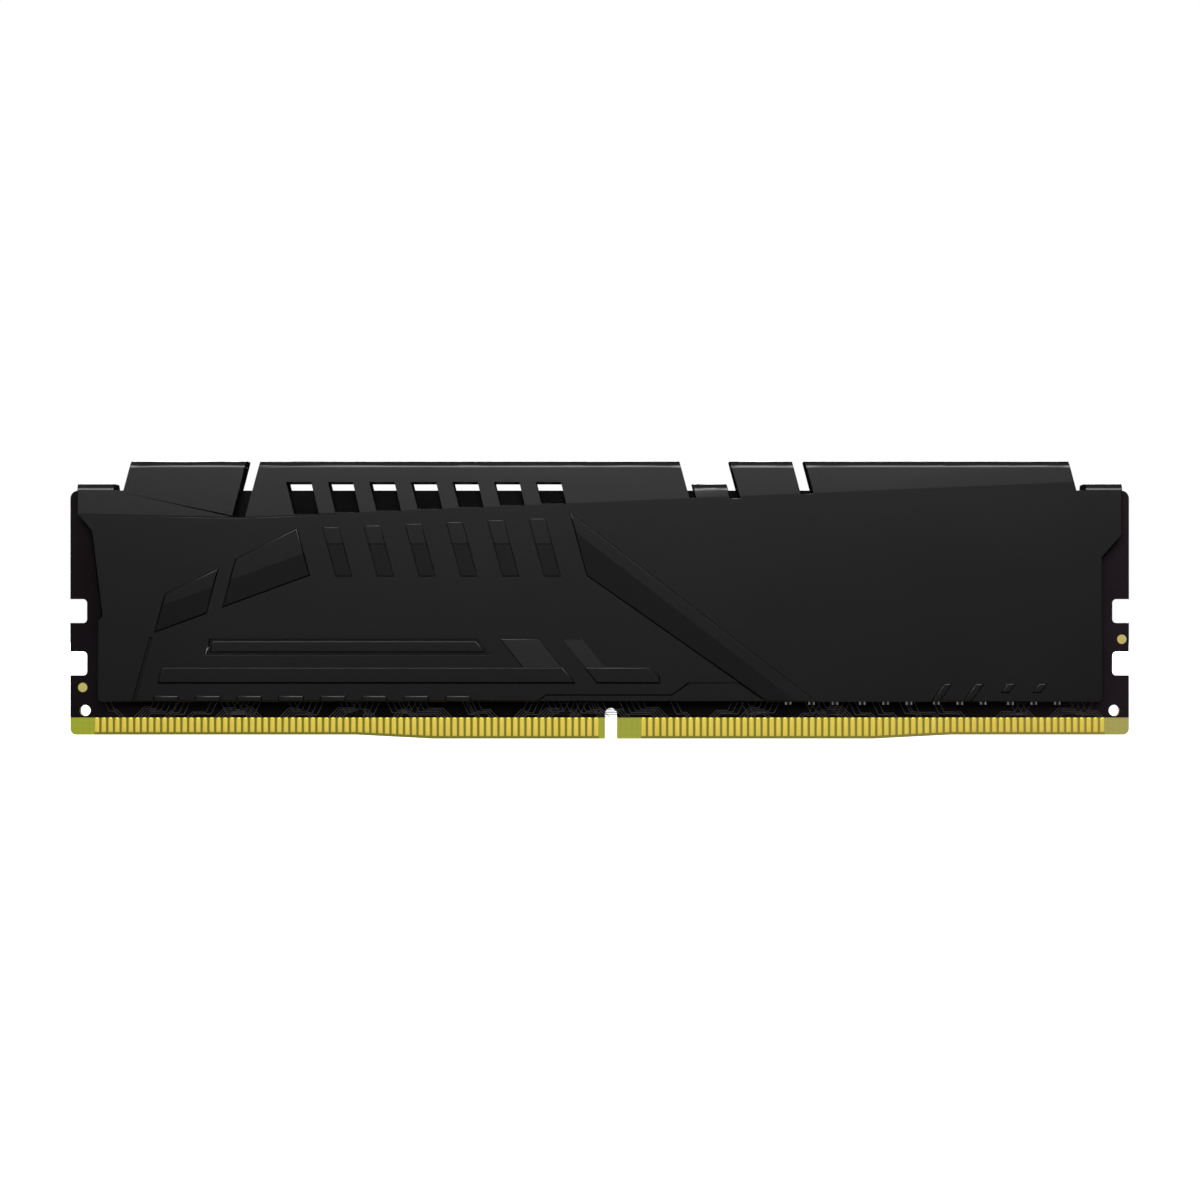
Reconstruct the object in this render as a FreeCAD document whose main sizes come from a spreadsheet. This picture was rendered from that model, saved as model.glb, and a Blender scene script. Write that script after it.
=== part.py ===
"""Memory module with a two-piece stamped heat spreader.

Frame: X runs along the module, Y through its thickness (the front faces -Y), Z up.
The origin is under the middle of the board, on the lowest edge of the contacts.
"""
import FreeCAD, Part
import Sketcher
import os
import re

SIZES = [
    # circuit board
    ("board_length", 133.35),
    ("board_height", 31.25),
    ("board_thickness", 1.20),
    ("board_corner", 1.0),
    ("foot_corner", 0.75),
    ("edge_step", 0.50),
    ("ramp_left_start", 32.2),
    ("ramp_left_end", 22.3),
    ("ramp_right_start", 33.0),
    ("ramp_right_end", 42.8),
    ("key_x", 1.425),
    ("key_width", 1.50),
    ("key_depth", 3.85),
    ("notch_depth", 2.10),
    ("notch_height", 3.00),
    ("lower_notch", 7.97),
    ("upper_notch", 14.57),
    ("notch_corner", 0.50),
    ("hole_diameter", 1.40),
    ("hole_inset", 1.85),
    ("hole_height", 3.55),
    # copper and lacquer on the board
    ("contact_thickness", 0.035),
    ("contact_width", 0.60),
    ("contact_pitch", 0.85),
    ("contact_top", 2.67),
    ("contact_foot_gap", 0.30),
    ("contact_end_margin", 3.35),
    ("key_to_left_bank", 1.85),
    ("key_to_right_bank", 4.10),
    ("mask_thickness", 0.030),
    ("fiducial_diameter", 1.10),
    ("left_fiducial_inset", 1.55),
    ("left_fiducial_height", 6.45),
    ("right_fiducial_inset", 0.90),
    ("right_fiducial_height", 12.52),
    # heat spreader sheet
    ("tab_rise", 3.65),
    ("overall_thickness", 6.62),
    ("relief_height", 0.36),
    ("sheet", 0.80),
    ("meeting_gap", 0.05),
    ("bend_radius", 0.85),
    ("flange_setback", 0.64),
    ("plate_inset", 1.19),
    ("plate_bottom", 4.71),
    ("plate_corner", 0.60),
    ("lean", 0.268),
    # stepped ends of the sheet
    ("left_shoulder_drop", 2.95),
    ("left_cheek_depth", 1.70),
    ("left_cheek_drop", 5.01),
    ("left_waist_depth", 3.05),
    ("left_waist_height", 15.52),
    ("left_jaw_depth", 2.58),
    ("left_jaw_height", 15.08),
    ("right_shoulder_drop", 5.73),
    ("right_jaw_depth", 2.51),
    ("right_jaw_drop", 8.55),
    # tabs and slots along the top, first from the left end, then from the middle or the right end
    ("corner_tab_end", 5.80),
    ("first_tab_start", 7.94),
    ("first_tab_end", 22.42),
    ("first_slot_width", 1.69),
    ("long_tab_end", 9.99),
    ("low_tab_start", 11.62),
    ("low_tab_end", 15.90),
    ("third_tab_start", 16.28),
    ("third_tab_end", 24.10),
    ("third_slot_width", 1.58),
    ("last_tab_end", 7.90),
    ("right_corner_tab", 5.80),
    ("notch_floor_drop", 0.05),
    # crease between the upright face and the upper band that leans back
    ("crease_left_drop", 2.92),
    ("crease_low_drop", 3.40),
    ("crease_low_x", 21.675),
    ("crease_right_rise", 1.33),
    ("band_setback", 0.028),
    ("crease_line_depth", 0.08),
    ("crease_line_width", 0.14),
    ("crease_line_end", 33.5),
    # seven windows through the band and six slats below them
    ("window_count", 7),
    ("window_pitch", 5.22),
    ("window_width", 3.08),
    ("window_start", 27.45),
    ("window_rise", 0.87),
    ("window_lean", 0.233),
    ("slat_count", 6),
    ("slat_pitch", 5.17),
    ("slat_width", 2.10),
    ("slat_start", 31.90),
    ("slat_drop", 1.62),
    ("slat_step_drop", 6.78),
    ("slat_bottom_drop", 10.83),
    ("slat_height", 0.32),
    ("slat_fall_start", 0.22),
    ("slat_fall_end", 0.14),
    # two raised facets whose lower half falls away
    ("facet_top_slope", 0.475),
    ("facet_foot_slope", 0.366),
    ("facet_fall", 3.05),
    ("facet_foot_height", 0.25),
    ("small_facet_x", 10.85),
    ("small_facet_z", 13.37),
    ("small_facet_width", 6.55),
    ("small_facet_left", 4.92),
    ("small_facet_right", 5.70),
    ("large_facet_x", 19.37),
    ("large_facet_z", 16.53),
    ("large_facet_width", 11.00),
    ("large_facet_left", 6.15),
    ("large_facet_right", 5.95),
    # long diagonal rib
    ("rib_apex_x", -3.80),
    ("rib_apex_drop", 2.67),
    ("rib_slope", 0.769),
    ("rib_heel_drop", 10.73),
    ("rib_heel_slope", 0.701),
    ("rib_rim", 1.98),
    ("rib_fall", 5.00),
    ("rib_foot_height", 0.20),
    # bars, ramps and slit low on the left
    ("bar_height", 0.36),
    ("sweep", 0.80),
    ("frame_left", 17.43),
    ("frame_right", 14.20),
    ("frame_top", 12.59),
    ("frame_bottom", 10.66),
    ("frame_clip", 0.40),
    ("groove_width", 0.22),
    ("groove_left_share", 1.30),
    ("groove_right_share", 2.10),
    ("groove_depth", 0.22),
    ("bar_left", 11.25),
    ("bar_right", 2.99),
    ("bar_top", 9.01),
    ("bar_bottom", 7.05),
    ("ramp_low", 0.12),
    ("ramp_high", 0.23),
    ("wide_ramp_x", 12.49),
    ("wide_ramp_width", 4.93),
    ("thin_ramp_x", 4.73),
    ("thin_ramp_width", 2.49),
    ("short_bar_end", 7.55),
    ("short_bar_clip", 1.07),
    ("slit_x", 10.52),
    ("slit_top", 12.70),
    ("slit_width", 0.25),
    ("slit_depth", 0.30),
    # stepped recess and small ribs along the bottom edge
    ("recess_depth", 0.20),
    ("recess_start", -7.79),
    ("recess_low", 5.50),
    ("recess_turn", 9.09),
    ("recess_high", 7.06),
    ("recess_slope", 0.70),
    ("tooth_count", 8),
    ("tooth_pitch", 5.23),
    ("tooth_start", 10.70),
    ("tooth_width", 3.20),
    ("tooth_top", 5.50),
    ("tooth_height", 0.22),
    # four small marks low on the right
    ("mark_height", 0.22),
    ("mark_top", 7.02),
    ("mark_short_bottom", 5.81),
    ("mark_start", 23.55),
    ("mark_pitch", 3.97),
    ("mark_width", 1.12),
    ("mark_lean", 0.70),
    # memory chips
    ("chips_per_bank", 4),
    ("chip_width", 10.0),
    ("chip_tall", 11.0),
    ("chip_thickness", 0.85),
    ("ball_height", 0.25),
    ("ball_diameter", 0.45),
    ("ball_pitch", 0.80),
    ("ball_rows", 13),
    ("ball_columns", 3),
    ("ball_column_gap", 3.20),
    ("chip_foot", 12.2),
    ("chip_centre_keepout", 11.0),
    ("chip_end_keepout", 5.5),
    # power parts in the middle
    ("controller_size", 5.0),
    ("controller_thickness", 0.80),
    ("controller_foot", 19.0),
    ("inductor_size", 4.0),
    ("inductor_thickness", 1.20),
    ("inductor_spacing", 7.4),
    ("inductor_foot", 12.0),
    ("hub_width", 3.0),
    ("hub_tall", 2.0),
    ("hub_thickness", 0.65),
    ("pad_overlap", 0.8),
    # small parts
    ("cap_length", 1.00),
    ("cap_width", 0.50),
    ("cap_thickness", 0.50),
    ("cap_end", 0.25),
    ("cap_pitch", 2.40),
    ("cap_foot", 9.60),
    ("bulk_cap_length", 2.00),
    ("bulk_cap_width", 1.25),
    ("bulk_cap_thickness", 0.95),
    ("bulk_cap_end", 0.45),
    ("bulk_cap_spacing", 3.60),
    ("bulk_cap_clearance", 0.80),
    ("resistor_length", 0.80),
    ("resistor_width", 0.42),
    ("resistor_thickness", 0.30),
    ("resistor_end", 0.20),
    ("resistor_foot", 4.28),
    ("resistor_start", 43.35),
    ("resistor_pitch", 2.95),
    ("resistor_trio_pitch", 9.33),
]

# Places that many pieces share, written as expressions of the cells above.
LEFT = "(-board_length/2)"
RIGHT = "(board_length/2)"
SKIN = "(board_thickness/2 + mask_thickness)"
THROUGH = "(2*overall_thickness)"
PAST = "1"
FACE = "(overall_thickness/2 - relief_height)"
PLATE_LEFT = f"({LEFT} + plate_inset)"
PLATE_RIGHT = f"({RIGHT} - plate_inset)"
CREASE_X = f"({LEFT} + crease_low_x)"
LOW_TOP = "(board_height + sheet)"
TOP = "(board_height + tab_rise)"
CREASE_LEFT = "(board_height - crease_left_drop)"
CREASE_LOW = "(board_height - crease_low_drop)"
CREASE_RIGHT = "(board_height + crease_right_rise)"
WINDOW_TOP = "(board_height + window_rise)"
SLAT_STEP = "(board_height - slat_step_drop)"
SLAT_FOOT = "(board_height - slat_bottom_drop)"
RIB_APEX = "(board_height - rib_apex_drop)"
RIB_HEEL = "(board_height - rib_heel_drop)"
CHIP_TOP = f"({SKIN} + ball_height + chip_thickness)"
BALL_FOOT = "(chip_foot + chip_tall/2 - (ball_rows - 1)*ball_pitch/2)"
CHIP_PITCH = "((board_length/2 - chip_centre_keepout - chip_end_keepout)/chips_per_bank)"

doc = FreeCAD.newDocument("memory_module")
sheet = doc.addObject("Spreadsheet::Sheet", "Sizes")
for row, (alias, size) in enumerate(SIZES, start=1):
    sheet.set(f"A{row}", alias)
    sheet.set(f"B{row}", str(size))
    sheet.setAlias(f"B{row}", alias)
doc.recompute()
ALIASES = {alias for alias, size in SIZES}
pieces = []


def bound(expression):
    """Give each alias in an expression its sheet, as setExpression wants it."""
    return re.sub(r"[a-z_]+", lambda m: "Sizes." + m[0] if m[0] in ALIASES else m[0], expression)


def number(expression):
    """Work an expression out from the cells."""
    return float(sheet.evalExpression(expression))


def keep(item, label):
    """Give a finished sub-part its label and put it on the list of files to write."""
    item.Label = label
    pieces.append(item)
    return item


def new_body(name):
    """Start a body; its separate solids may stay apart, as in a row of contacts."""
    body = doc.addObject("PartDesign::Body", name)
    body.AllowCompound = True
    return body


def new_sketch(body, name, role, distance):
    """Put a sketch on one of the body's own origin planes, moved along its normal."""
    sketch = body.newObject("Sketcher::SketchObject", name)
    plane = [item for item in body.Origin.OriginFeatures if item.Role == role][0]
    sketch.AttachmentSupport = [(plane, "")]
    sketch.MapMode = "FlatFace"
    sketch.AttachmentOffset = FreeCAD.Placement(FreeCAD.Vector(0, 0, number(distance)), FreeCAD.Rotation())
    sketch.setExpression("AttachmentOffset.Base.z", bound(distance))
    return sketch


def pin_point(sketch, geometry, position, point):
    """Hold one point of a sketch at two bound distances from the sketch's origin."""
    for kind, expression in zip(("DistanceX", "DistanceY"), point):
        rule = Sketcher.Constraint(kind, -1, 1, geometry, position, number(expression))
        sketch.setExpression(f"Constraints[{sketch.addConstraint(rule)}]", bound(expression))


def add_polygon(sketch, points):
    """Draw a closed outline of straight lines whose corners are bound to the sheet."""
    spots = [FreeCAD.Vector(number(first), number(second), 0) for first, second in points]
    start = sketch.GeometryCount
    count = len(points)
    lines = [Part.LineSegment(spots[i], spots[(i + 1) % count]) for i in range(count)]
    sketch.addGeometry(lines, False)
    following = [start + (i + 1) % count for i in range(count)]
    joins = [Sketcher.Constraint("Coincident", start + i, 2, after, 1) for i, after in enumerate(following)]
    sketch.addConstraint(joins)
    for i in range(count):
        pin_point(sketch, start + i, 1, points[i])


def add_circle(sketch, centre, diameter):
    """Draw a circle with a bound centre and diameter."""
    middle = FreeCAD.Vector(number(centre[0]), number(centre[1]), 0)
    circle = Part.Circle(middle, FreeCAD.Vector(0, 0, 1), number(diameter) / 2)
    index = sketch.addGeometry(circle, False)
    pin_point(sketch, index, 3, centre)
    rule = Sketcher.Constraint("Diameter", index, number(diameter))
    sketch.setExpression(f"Constraints[{sketch.addConstraint(rule)}]", bound(diameter))


def box_outline(x_low, x_high, z_low, z_high):
    """Four corners of an upright rectangle."""
    return [(x_low, z_low), (x_high, z_low), (x_high, z_high), (x_low, z_high)]


def front_sketch(body, name, depth, outlines, circles=()):
    """Sketch outlines on the plane that lies a depth in front of the board's middle."""
    sketch = new_sketch(body, name, "XZ_Plane", depth)
    for outline in outlines:
        add_polygon(sketch, outline)
    for centre, diameter in circles:
        add_circle(sketch, centre, diameter)
    return sketch


def pad(body, sketch, length, reverse=False):
    """Add material from a sketch, towards the front unless it is reversed."""
    feature = body.newObject("PartDesign::Pad", sketch.Name + "_pad")
    feature.Profile = sketch
    feature.setExpression("Length", bound(length))
    feature.Reversed = reverse
    return feature


def pocket(body, sketch, length, both_ways=False):
    """Take material away from a sketch, towards the back, or both ways for a through cut."""
    doc.recompute()
    before = body.Shape.Volume
    feature = body.newObject("PartDesign::Pocket", sketch.Name + "_cut")
    feature.Profile = sketch
    feature.setExpression("Length", bound(length))
    feature.Midplane = both_ways
    doc.recompute()
    assert body.Shape.Volume < before, f"{sketch.Name} cuts nothing"
    return feature


def row_pattern(body, feature, count, pitch):
    """Repeat a feature along X, with its count and pitch bound to the sheet."""
    pattern = body.newObject("PartDesign::LinearPattern", feature.Name + "_row")
    pattern.Originals = [feature]
    pattern.Direction = (feature.Profile[0], ["H_Axis"])
    pattern.setExpression("Length", bound(f"({count} - 1)*{pitch}"))
    pattern.setExpression("Occurrences", bound(count))
    body.Tip = pattern
    doc.recompute()
    return pattern


def loft(body, kind, name, sections):
    """Ruled loft through upright sections, each given as its X place and its outline in Y and Z."""
    sketches = []
    for order, (place, outline) in enumerate(sections):
        sketch = new_sketch(body, f"{name}_{order}", "YZ_Plane", place)
        add_polygon(sketch, outline)
        sketches.append(sketch)
    doc.recompute()
    feature = body.newObject(f"PartDesign::{kind}", name)
    feature.Profile = sketches[0]
    feature.Sections = sketches[1:]
    feature.Ruled = True
    doc.recompute()
    return feature


def round_edges(body, name, radius, wanted):
    """Fillet the edges whose middle point and direction pass the test."""
    doc.recompute()
    base = body.Tip
    names = []
    for order, edge in enumerate(base.Shape.Edges, start=1):
        if wanted(edge.CenterOfMass, edge.tangentAt(edge.FirstParameter)):
            names.append(f"Edge{order}")
    assert names, f"{name} finds no edge"
    feature = body.newObject("PartDesign::Fillet", name)
    feature.Base = (base, names)
    feature.setExpression("Radius", bound(radius))
    doc.recompute()
    return feature


def mirror(source, label):
    """Make the rear piece as the front one's mirror image across the board's mid-plane."""
    feature = doc.addObject("Part::Mirroring", label)
    feature.Source = source
    feature.Normal = (0, 1, 0)
    return keep(feature, label)


# ---------------------------------------------------------------- circuit board

def near(value, expression, slack=0.02):
    """Tell whether a coordinate lies where an expression says."""
    return abs(value - number(expression)) < slack


def foot_line(rise):
    """Lower edge of the board from right to left, raised by a clearance: low in the middle."""
    return [
        (RIGHT, f"edge_step + {rise}"),
        ("key_x + ramp_right_end", f"edge_step + {rise}"),
        ("key_x + ramp_right_start", rise),
        ("key_x - ramp_left_end", rise),
        ("key_x - ramp_left_start", f"edge_step + {rise}"),
        (LEFT, f"edge_step + {rise}"),
    ]


def latch_notches():
    """Two notches in each end of the board, where the socket's latches grip."""
    outlines = []
    for low in ("lower_notch", "upper_notch"):
        high = f"{low} + notch_height"
        outlines.append(box_outline(f"{LEFT} - {PAST}", f"{LEFT} + notch_depth", low, high))
        outlines.append(box_outline(f"{RIGHT} - notch_depth", f"{RIGHT} + {PAST}", low, high))
    return outlines


def sheet_of_board(name, depth, thickness, bottom):
    """A layer with the board's outline, its latch notches and its two tooling holes."""
    body = new_body(name)
    outline = bottom + [(LEFT, "board_height"), (RIGHT, "board_height")]
    pad(body, front_sketch(body, name + "_outline", depth, [outline]), thickness)
    pocket(body, front_sketch(body, name + "_notches", depth, latch_notches()), THROUGH, True)
    holes = [
        ((f"{LEFT} + hole_inset", "hole_height"), "hole_diameter"),
        ((f"{RIGHT} - hole_inset", "hole_height"), "hole_diameter"),
    ]
    pocket(body, front_sketch(body, name + "_holes", depth, [], holes), THROUGH, True)

    def notch_edge(middle, along):
        return abs(along.y) > 0.9 and near(abs(middle.x), "board_length/2 - notch_depth")

    def top_edge(middle, along):
        return abs(along.y) > 0.9 and near(middle.z, "board_height")

    round_edges(body, name + "_notch_corners", "notch_corner", notch_edge)
    round_edges(body, name + "_top_corners", "board_corner", top_edge)
    return body


def cut_key(body, name):
    """Slot with a round crown that keeps the module from going in the wrong way round."""
    slot_top = "(key_depth - key_width/2)"
    slot = box_outline("key_x - key_width/2", "key_x + key_width/2", f"-{PAST}", slot_top)
    pocket(body, front_sketch(body, name + "_slot", "0", [slot]), THROUGH, True)
    crown = [(("key_x", slot_top), "key_width")]
    pocket(body, front_sketch(body, name + "_crown", "0", [], crown), THROUGH, True)


def make_board():
    """Glass-epoxy laminate with the key slot cut into its contact edge."""
    body = sheet_of_board("circuit_board", "-board_thickness/2", "board_thickness", foot_line("0"))
    cut_key(body, "key")

    def foot_edge(middle, along):
        return abs(along.y) > 0.9 and near(abs(middle.x), "board_length/2") and near(middle.z, "edge_step")

    round_edges(body, "board_foot_corners", "foot_corner", foot_edge)
    return keep(body, "circuit_board")


def make_mask():
    """Black lacquer over the front of the board, down to the top of the contacts."""
    bottom = [(RIGHT, "contact_top"), (LEFT, "contact_top")]
    body = sheet_of_board("solder_mask_front", "board_thickness/2", "mask_thickness", bottom)
    cut_key(body, "mask_key")
    pads = [(place, "fiducial_diameter + 0.1") for place in fiducial_places()]
    pocket(body, front_sketch(body, "mask_openings", "board_thickness/2", [], pads), THROUGH, True)
    return keep(body, "solder_mask_front")


def fiducial_places():
    """Centres of the two round alignment marks."""
    return [
        (f"{LEFT} + left_fiducial_inset", "left_fiducial_height"),
        (f"{RIGHT} - right_fiducial_inset", "right_fiducial_height"),
    ]


def make_fiducials():
    """Two gold-plated discs that placement machines line up on."""
    body = new_body("alignment_pads_front")
    discs = [(place, "fiducial_diameter") for place in fiducial_places()]
    pad(body, front_sketch(body, "alignment_discs", "board_thickness/2", [], discs), "contact_thickness")
    return keep(body, "alignment_pads_front")


def make_contacts(name, first, count):
    """One bank of gold contacts; their lower ends follow the board's edge."""
    body = new_body(name)
    outline = box_outline(f"{first} - contact_width/2", f"{first} + contact_width/2", "0", "contact_top")
    one = pad(body, front_sketch(body, name + "_one", "board_thickness/2", [outline]), "contact_thickness")
    row_pattern(body, one, count, "contact_pitch")
    under = foot_line("contact_foot_gap") + [(LEFT, f"-{PAST}"), (RIGHT, f"-{PAST}")]
    pocket(body, front_sketch(body, name + "_foot", "board_thickness/2", [under]), THROUGH, True)
    return keep(body, name)


# ---------------------------------------------------------------- heat spreader

def crease_height(x):
    """Height of the crease right of its lowest point, as an expression of X."""
    rise = f"({CREASE_RIGHT} - {CREASE_LOW})/(board_length - crease_low_x)"
    return f"({CREASE_LOW} + ({x} - {CREASE_X})*{rise})"


def left_crease_height(x):
    """Height of the crease left of its lowest point, as an expression of X."""
    return f"({CREASE_LOW} + ({CREASE_X} - ({x}))*({CREASE_LEFT} - {CREASE_LOW})/crease_low_x)"


def slanted(x, z, direction):
    """A point that starts at X on the top edge and leans as it goes down to Z."""
    return (f"{x} + {direction}*lean*({TOP} - {z})", z)


def spreader_outline():
    """Outline of the sheet, from the bottom left corner round to the left end."""
    slot_floor = crease_height("(" + LEFT + " + first_tab_end)")
    mid_floor = crease_height("low_tab_start")
    third_floor = crease_height("third_tab_end")
    last_tab = f"{RIGHT} - last_tab_end"
    right_corner = f"{RIGHT} - right_corner_tab"
    first_start = f"{LEFT} + first_tab_start"
    first_end = f"{LEFT} + first_tab_end"
    long_start = f"{LEFT} + first_tab_end + first_slot_width"
    bottom = [
        (f"{PLATE_LEFT} + left_jaw_depth", "plate_bottom"),
        (f"{PLATE_RIGHT} - right_jaw_depth", "plate_bottom"),
        (f"{PLATE_RIGHT} - right_jaw_depth", "board_height - right_jaw_drop"),
        (PLATE_RIGHT, "board_height - right_shoulder_drop"),
        (PLATE_RIGHT, LOW_TOP),
        (right_corner, LOW_TOP),
        (right_corner, "(board_height - notch_floor_drop)"),
    ]
    right_half = [
        slanted(last_tab, "(board_height - notch_floor_drop)", "1"),
        (last_tab, TOP),
        ("third_tab_end + third_slot_width", TOP),
        slanted("third_tab_end + third_slot_width", third_floor, "1"),
        slanted("third_tab_end", third_floor, "1"),
        ("third_tab_end", TOP),
        ("third_tab_start", TOP),
        slanted("third_tab_start", mid_floor, "1"),
        (f"low_tab_end + lean*({LOW_TOP} - {mid_floor})", mid_floor),
        ("low_tab_end", LOW_TOP),
        ("low_tab_start", LOW_TOP),
        (f"low_tab_start + lean*({LOW_TOP} - {mid_floor})", mid_floor),
        slanted("long_tab_end", mid_floor, "1"),
        ("long_tab_end", TOP),
    ]
    left_half = [
        (long_start, TOP),
        slanted(long_start, slot_floor, "-1"),
        slanted(first_end, slot_floor, "-1"),
        (first_end, TOP),
        (first_start, TOP),
        slanted(first_start, "(board_height - notch_floor_drop)", "-1"),
        (f"{LEFT} + corner_tab_end", "(board_height - notch_floor_drop)"),
        (f"{LEFT} + corner_tab_end", LOW_TOP),
        (PLATE_LEFT, LOW_TOP),
        (PLATE_LEFT, "board_height - left_shoulder_drop"),
        (f"{PLATE_LEFT} + left_cheek_depth", "board_height - left_cheek_drop"),
        (f"{PLATE_LEFT} + left_waist_depth", "left_waist_height"),
        (f"{PLATE_LEFT} + left_jaw_depth", "left_jaw_height"),
    ]
    return bottom + right_half + left_half


def crease_sections(outline):
    """The three X places where the crease starts, turns and ends, each with its outline."""
    stops = [(LEFT, CREASE_LEFT), (CREASE_X, CREASE_LOW), (RIGHT, CREASE_RIGHT)]
    return [(place, outline(height)) for place, height in stops]


def lean_back_tool(crease):
    """What is cut off in front of the leaning band, in Y and Z."""
    top = f"({TOP} + {PAST})"
    return [
        (f"-{FACE}", crease),
        (f"-{FACE} + band_setback*({top} - {crease})", top),
        (f"-{FACE} - {PAST}", top),
        (f"-{FACE} - {PAST}", crease),
    ]


def hollow_tool(crease):
    """The space behind the sheet, which leaves one sheet's thickness of wall and flange."""
    ceiling = f"({TOP} - sheet)"
    wall = f"(-{FACE} + sheet)"
    return [
        (wall, f"plate_bottom - {PAST}"),
        (wall, crease),
        (f"{wall} + band_setback*({ceiling} - {crease})", ceiling),
        (PAST, ceiling),
        (PAST, f"plate_bottom - {PAST}"),
    ]


def low_flanges():
    """The three low tabs, folded flat over the board's top edge."""
    low = "board_height"
    drop = "lean*sheet"
    return [
        box_outline(PLATE_LEFT, f"{LEFT} + corner_tab_end", low, LOW_TOP),
        [(f"low_tab_start + {drop}", low), (f"low_tab_end + {drop}", low),
         ("low_tab_end", LOW_TOP), ("low_tab_start", LOW_TOP)],
        box_outline(f"{RIGHT} - right_corner_tab", PLATE_RIGHT, low, LOW_TOP),
    ]


def folded_sheet(body):
    """Sheet with its leaning band and its top tabs folded back to the mid-plane."""
    blank = front_sketch(body, "sheet_outline", "meeting_gap", [spreader_outline()])
    pad(body, blank, f"{FACE} - meeting_gap")
    loft(body, "SubtractiveLoft", "lean_back", crease_sections(lean_back_tool))
    loft(body, "SubtractiveLoft", "hollow", crease_sections(hollow_tool))
    flanges = front_sketch(body, "low_flanges", "meeting_gap", low_flanges())
    pad(body, flanges, f"{FACE} - flange_setback - meeting_gap")

    def bend(middle, along):
        on_top = near(middle.z, TOP) or near(middle.z, LOW_TOP)
        return on_top and abs(along.x) > 0.9 and middle.y < -number(f"{FACE} - sheet")

    def foot(middle, along):
        return abs(along.y) > 0.9 and near(middle.z, "plate_bottom")

    round_edges(body, "tab_bends", "bend_radius", bend)
    round_edges(body, "sheet_corners", "plate_corner", foot)


def window_outlines():
    """Leaning windows that stand on the crease and share one top line."""
    outlines = []
    for order in range(int(number("window_count"))):
        left = f"({LEFT} + window_start + {order}*window_pitch)"
        low = crease_height(f"({left} + window_width)")
        foot = f"window_lean*({WINDOW_TOP} - {low})"
        outlines.append([
            (left, WINDOW_TOP),
            (f"{left} + window_width", WINDOW_TOP),
            (f"{left} + window_width + {foot}", low),
            (f"{left} + {foot}", low),
        ])
    return outlines


def crease_line():
    """Fine groove along the crease, from the left end to a little past the first slot."""
    end = f"({LEFT} + crease_line_end)"
    line = [
        (PLATE_LEFT, left_crease_height(PLATE_LEFT)),
        (CREASE_X, CREASE_LOW),
        (end, crease_height(end)),
    ]
    under = [(x, f"{z} - crease_line_width") for x, z in reversed(line)]
    return line + under


def facet(body, name, right_lean):
    """Raised facet: its upper half is flat, and its lower half falls away towards its foot."""
    x_low = f"({LEFT} + {name}_x)"
    x_high = f"({x_low} + {name}_width)"
    z_low = f"{name}_z"
    z_end = f"({z_low} + {name}_width*facet_foot_slope)"
    outline = [
        (x_low, z_low),
        (x_high, z_end),
        (f"{x_high} + {right_lean}*lean*{name}_right", f"{z_end} + {name}_right"),
        (f"{x_low} + lean*{name}_left", f"{z_low} + {name}_left"),
    ]
    pad(body, front_sketch(body, name, FACE, [outline]), "relief_height")
    reach = f"({x_high} + lean*{name}_right)"

    def falling(x):
        foot = f"({z_low} + ({x} - {x_low})*facet_foot_slope)"
        return fall_tool(f"({foot} + facet_fall)", foot, "facet_foot_height")

    loft(body, "SubtractiveLoft", name + "_fall", [(x_low, falling(x_low)), (reach, falling(reach))])


def fall_tool(start, foot, foot_height):
    """Wedge in Y and Z that lets a raised face fall from its full relief to a low foot."""
    beyond = f"-{FACE} - {PAST}"
    return [
        (f"-{FACE} - relief_height", start),
        (f"-{FACE} - {foot_height}", foot),
        (beyond, foot),
        (beyond, start),
    ]


def diagonal_rib(body):
    """Long rib that widens from its apex down to the bottom edge, with a falling lower face."""
    heel_x = f"(rib_apex_x + lean*({RIB_APEX} - {RIB_HEEL}))"
    outline = [
        ("rib_apex_x", RIB_APEX),
        (heel_x, RIB_HEEL),
        (f"{heel_x} + ({RIB_HEEL} - plate_bottom)/rib_heel_slope", "plate_bottom"),
        (f"rib_apex_x + ({RIB_APEX} - plate_bottom)/rib_slope", "plate_bottom"),
    ]
    pad(body, front_sketch(body, "diagonal_rib", FACE, [outline]), "relief_height")

    def falling(x):
        start = f"({RIB_APEX} - rib_rim - ({x} - rib_apex_x)*rib_slope)"
        return fall_tool(start, f"({start} - rib_fall)", "rib_foot_height")

    ends = ["rib_apex_x", f"(rib_apex_x + ({RIB_APEX} - plate_bottom)/rib_slope)"]
    loft(body, "SubtractiveLoft", "rib_fall_face", [(x, falling(x)) for x in ends])


def slats(body):
    """Slats under the windows: the upper part is flat, and the lower part falls away."""
    uppers = []
    for order in range(int(number("slat_count"))):
        left = f"({LEFT} + slat_start + {order}*slat_pitch)"
        high = f"({crease_height(left)} - slat_drop)"
        foot = f"lean*({high} - {SLAT_STEP})"
        uppers.append([
            (left, high),
            (f"{left} + slat_width", high),
            (f"{left} + slat_width + {foot}", SLAT_STEP),
            (f"{left} + {foot}", SLAT_STEP),
        ])
    pad(body, front_sketch(body, "slat_uppers", FACE, uppers), "slat_height")
    for order in range(int(number("slat_count"))):
        left = f"({LEFT} + slat_start + {order}*slat_pitch)"
        step_x = f"({left} + lean*({crease_height(left)} - slat_drop - {SLAT_STEP}))"
        foot_x = f"({step_x} + lean*({SLAT_STEP} - {SLAT_FOOT}))"
        sloped_pad(body, f"slat_fall_{order}", "slat_width",
                   (SLAT_STEP, step_x, "slat_fall_start"), (SLAT_FOOT, foot_x, "slat_fall_end"))


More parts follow.
